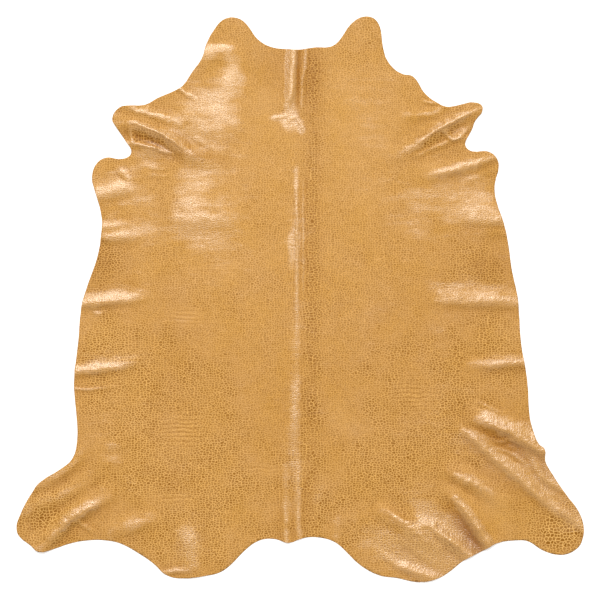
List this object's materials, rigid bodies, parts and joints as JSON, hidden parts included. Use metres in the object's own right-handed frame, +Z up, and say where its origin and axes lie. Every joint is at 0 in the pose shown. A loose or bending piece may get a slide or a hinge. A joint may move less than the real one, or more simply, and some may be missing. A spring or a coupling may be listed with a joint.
{
  "type": "whole cow hide leather",
  "caption": "Whole cow hide in tan pebble-grained leather, laid flat with its grain side up, with ear, leg, rump and tail lobes and soft folds.",
  "frame": {"origin": "middle of the hide's length and width, on the surface that it lies on", "axes": "+Z up out of the grain side, +Y towards the neck and ears, +X to the right when seen from above with the neck away"},
  "size_m": [2.27, 2.264, 0.0249],
  "materials": {
    "leather": "glossy pebbled grain on top, napped flesh side below"
  },
  "bodies": {
    "root": {"hide": "leather"}
  },
  "joints": []
}
